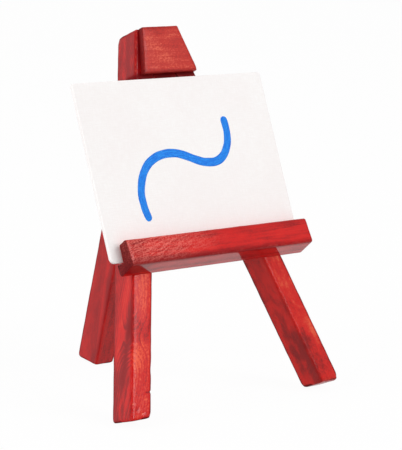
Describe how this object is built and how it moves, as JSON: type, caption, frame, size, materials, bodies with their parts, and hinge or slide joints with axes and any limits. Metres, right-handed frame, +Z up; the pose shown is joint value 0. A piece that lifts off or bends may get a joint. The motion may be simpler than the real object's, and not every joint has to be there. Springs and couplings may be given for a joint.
{
  "type": "display easel",
  "caption": "Small folding tripod easel: splayed front legs under a head block, a grooved tray holding a canvas board, and a hinged rear leg that stops open and folds flat.",
  "frame": {"origin": "on the table, under the middle of the whole easel", "axes": "+Z up; the front of the easel, with its tray and board, faces -Y; +X to the right seen from the front"},
  "size_m": [0.114, 0.1034, 0.1519],
  "materials": {
    "frame_legs": "red stain under gloss varnish",
    "rear_leg": "red stain under gloss varnish",
    "head_block": "red stain under gloss varnish, end grain blotches",
    "hinge_block": "red stain, thin varnish",
    "tray": "red stain under gloss varnish, rubbed at the ends",
    "board_core": "grey pressed card",
    "canvas": "white primed canvas",
    "backing_paper": "plain matt paper",
    "hinge": "plated, satin",
    "hinge_screws": "plated, satin"
  },
  "bodies": {
    "frame": {"left_front_leg": "frame_legs", "right_front_leg": "frame_legs", "head_block": "head_block", "hinge_block": "hinge_block", "tray": "tray", "hinge_frame_leaf": "hinge", "hinge_pin": "hinge", "frame_leaf_screws": "hinge_screws"},
    "rear_leg": {"rear_leg": "rear_leg", "hinge_leg_leaf": "hinge", "leg_leaf_screws": "hinge_screws"},
    "board": {"board_core": "board_core", "canvas_cover": "canvas", "backing_paper": "backing_paper"}
  },
  "joints": [
    {"name": "rear_leg_fold", "type": "hinge", "parent": "frame", "child": "rear_leg", "pos_m": [0.00017, 0.01018, 0.11601], "axis": [1, 0, 0], "range_deg": [-36.5, 0]},
    {"name": "board_slide", "type": "slide", "parent": "frame", "child": "board", "axis": [1, 0, 0], "range_m": [-0.045, 0.045]}
  ]
}
